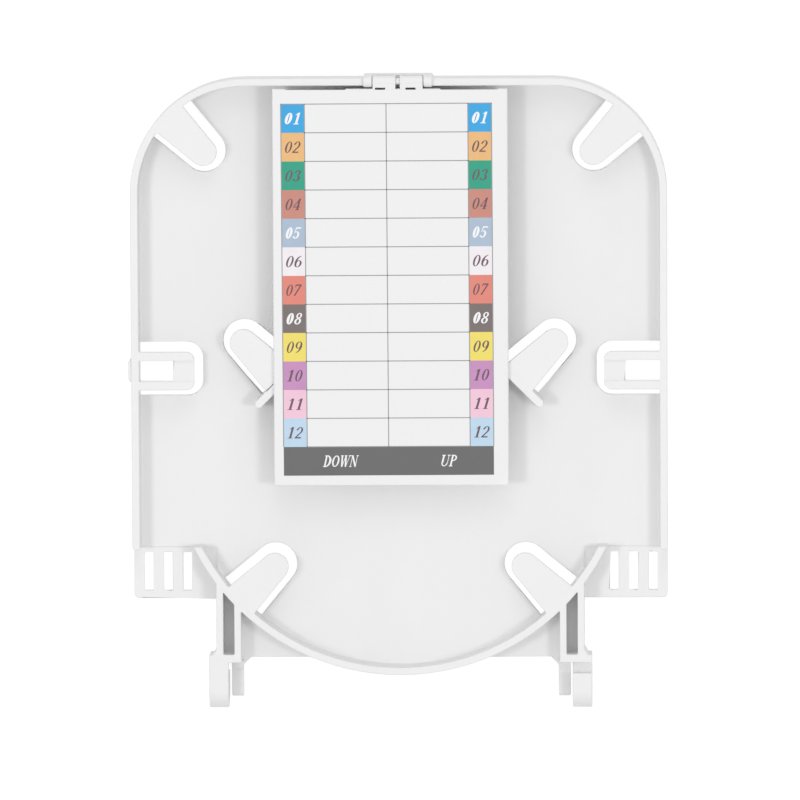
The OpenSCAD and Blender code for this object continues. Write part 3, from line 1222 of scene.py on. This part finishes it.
@dataclass(frozen=True)
class SoftBox:
    """A round soft light that points at the tray.

    Attributes:
        name: The light's name.
        azimuth_deg: Its direction round the tray, from +X to +Y.
        tilt_deg: Its angle from straight above.
        power: Its power in watts.
        size: Its width in metres.
        distance: Its distance from the tray in metres.
        aim: What it points at, in metres.
    """

    name: str
    azimuth_deg: float
    tilt_deg: float
    power: float
    size: float
    distance: float = 1.2
    aim: tuple = (0, 0.015, 0)

    def build(self) -> None:
        """Adds the light."""
        data = bpy.data.lights.new(self.name, "AREA")
        data.energy = self.power
        data.shape = "DISK"
        data.size = self.size
        light = bpy.data.objects.new(self.name, data)
        a, t = math.radians(self.azimuth_deg), math.radians(self.tilt_deg)
        away = Vector((math.cos(a) * math.sin(t), math.sin(a) * math.sin(t), math.cos(t)))
        light.location = away * self.distance + Vector(self.aim)
        light.rotation_mode = "QUATERNION"
        light.rotation_quaternion = away.to_track_quat("Z", "Y")
        light.visible_camera = False
        bpy.context.scene.collection.objects.link(light)


@dataclass
class Studio:
    """White floor, three soft boxes, a white room and the camera.

    Attributes:
        target: What the camera looks at, in millimetres.
        distance: Its distance from there.
        lean_deg: How far it leans towards the hinged end.
        yaw_deg: How far it leans to the right.
        roll_deg: How far the picture is turned, to the left.
        lens: Focal length in millimetres.
        sensor: Width of the sensor in millimetres.
        clip: Nearest and farthest that the camera sees, in metres.
        room: Strength of the room's light on the tray.
        room_grey: Colour of the room.
        box_power: Power of a side light in watts.
        floor_half: Half the floor's width in metres.
        floor_drop: How far the floor lies under the tray, in metres.
        floor_glow: How white the floor looks by itself.
        floor_shadow: Share of the light that the seen floor takes on top, which shows shadows.
        floor_grey: Share of the light that the floor throws back at the tray.
    """

    target: tuple = (0.224, 13.2, 10.0)
    distance: float = 2950.0
    lean_deg: float = 5.85
    yaw_deg: float = 1.6
    roll_deg: float = 0.28
    lens: float = 474.58
    sensor: float = 36
    clip: tuple = (0.1, 20)
    room: float = 0.88
    room_grey: float = 0.8
    box_power: float = 2.26
    floor_half: float = 6.0
    floor_drop: float = 0.00005
    floor_glow: float = 0.95
    floor_shadow: float = 0.09
    floor_grey: float = 0.75

    def camera(self) -> None:
        """Places the camera."""
        yaw, lean = math.radians(self.yaw_deg), math.radians(self.lean_deg)
        back = Vector((math.sin(yaw), math.sin(lean) * math.cos(yaw), math.cos(lean) * math.cos(yaw)))
        back.normalize()
        right = Vector((0, 1, 0)).cross(back).normalized()
        up = back.cross(right)
        turn = math.radians(self.roll_deg)
        across = right * math.cos(turn) - up * math.sin(turn)
        upward = up * math.cos(turn) + right * math.sin(turn)
        data = bpy.data.cameras.new("view")
        data.lens = self.lens
        data.sensor_width = self.sensor
        data.clip_start, data.clip_end = self.clip
        camera = bpy.data.objects.new("view", data)
        place = Matrix((across, upward, back)).transposed().to_4x4()
        place.translation = (Vector(self.target) + back * self.distance) * MM
        camera.matrix_world = place
        bpy.context.scene.collection.objects.link(camera)
        bpy.context.scene.camera = camera

    @staticmethod
    def diffuse(s: Shader, grey: float) -> Wire:
        """A matt shader of a grey."""
        return s.node("ShaderNodeBsdfDiffuse", {}, {"Color": (grey, grey, grey, 1)})

    def paint(self) -> bpy.types.Material:
        """Makes the floor's finish: white to the camera, in mirrors and through glass.

        Returns:
            The material.
        """
        s = Shader.material("floor")
        path = s.node("ShaderNodeLightPath", {}, {}, "Is Camera Ray")
        gloss = s.node("ShaderNodeLightPath", {}, {}, "Is Glossy Ray")
        through = s.node("ShaderNodeLightPath", {}, {}, "Is Transmission Ray")
        seen = path + gloss + through
        white = s.node("ShaderNodeEmission", {}, {"Color": (1, 1, 1, 1), "Strength": self.floor_glow})
        lit = s.node("ShaderNodeAddShader", {}, {0: white, 1: self.diffuse(s, self.floor_shadow)})
        plain = self.diffuse(s, self.floor_grey)
        both = s.node("ShaderNodeMixShader", {}, {0: seen, 1: plain, 2: lit})
        s.node("ShaderNodeOutputMaterial", {}, {"Surface": both})
        return s.owner

    def floor(self) -> None:
        """Builds the white floor, which takes a faint shadow."""
        bm = bmesh.new()
        bmesh.ops.create_grid(bm, x_segments=1, y_segments=1, size=self.floor_half)
        bmesh.ops.translate(bm, verts=bm.verts, vec=(0, 0, -self.floor_drop))
        mesh = bpy.data.meshes.new("floor")
        bm.to_mesh(mesh)
        bm.free()
        mesh.materials.append(self.paint())
        floor = bpy.data.objects.new("floor", mesh)
        bpy.context.scene.collection.objects.link(floor)

    def world(self) -> None:
        """Lights the room evenly and shows it to the camera at full strength."""
        s = Shader(bpy.data.worlds.new("room"))
        path = s.node("ShaderNodeLightPath", {}, {}, "Is Camera Ray")
        colour = (self.room_grey, self.room_grey, self.room_grey, 1)
        lit = s.node("ShaderNodeBackground", {}, {"Color": colour, "Strength": self.room})
        white = s.node("ShaderNodeBackground", {}, {"Color": colour, "Strength": 1})
        both = s.node("ShaderNodeMixShader", {}, {0: path, 1: lit, 2: white})
        s.node("ShaderNodeOutputWorld", {}, {"Surface": both})
        bpy.context.scene.world = s.owner

    def build(self) -> None:
        """Builds the whole studio."""
        bpy.context.scene.view_settings.view_transform = "Standard"
        self.camera()
        self.floor()
        self.world()
        SoftBox("box_left", 180, 26, self.box_power, 0.22).build()
        SoftBox("box_right", 0, 26, self.box_power, 0.22).build()
        SoftBox("box_back", 90, 48, self.box_power * 0.5, 0.6).build()


def main() -> None:
    """Builds every piece and reports it."""
    logging.basicConfig(level=logging.INFO, format="%(name)s: %(message)s")
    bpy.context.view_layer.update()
    Studio().build()
    for part in (TrayMoulding(), SpliceCombs(), Cover(), Label()):
        for piece in part.build():
            LOG.info("%s: %d faces", piece.name, len(piece.data.polygons))


if __name__ == "__main__":
    main()
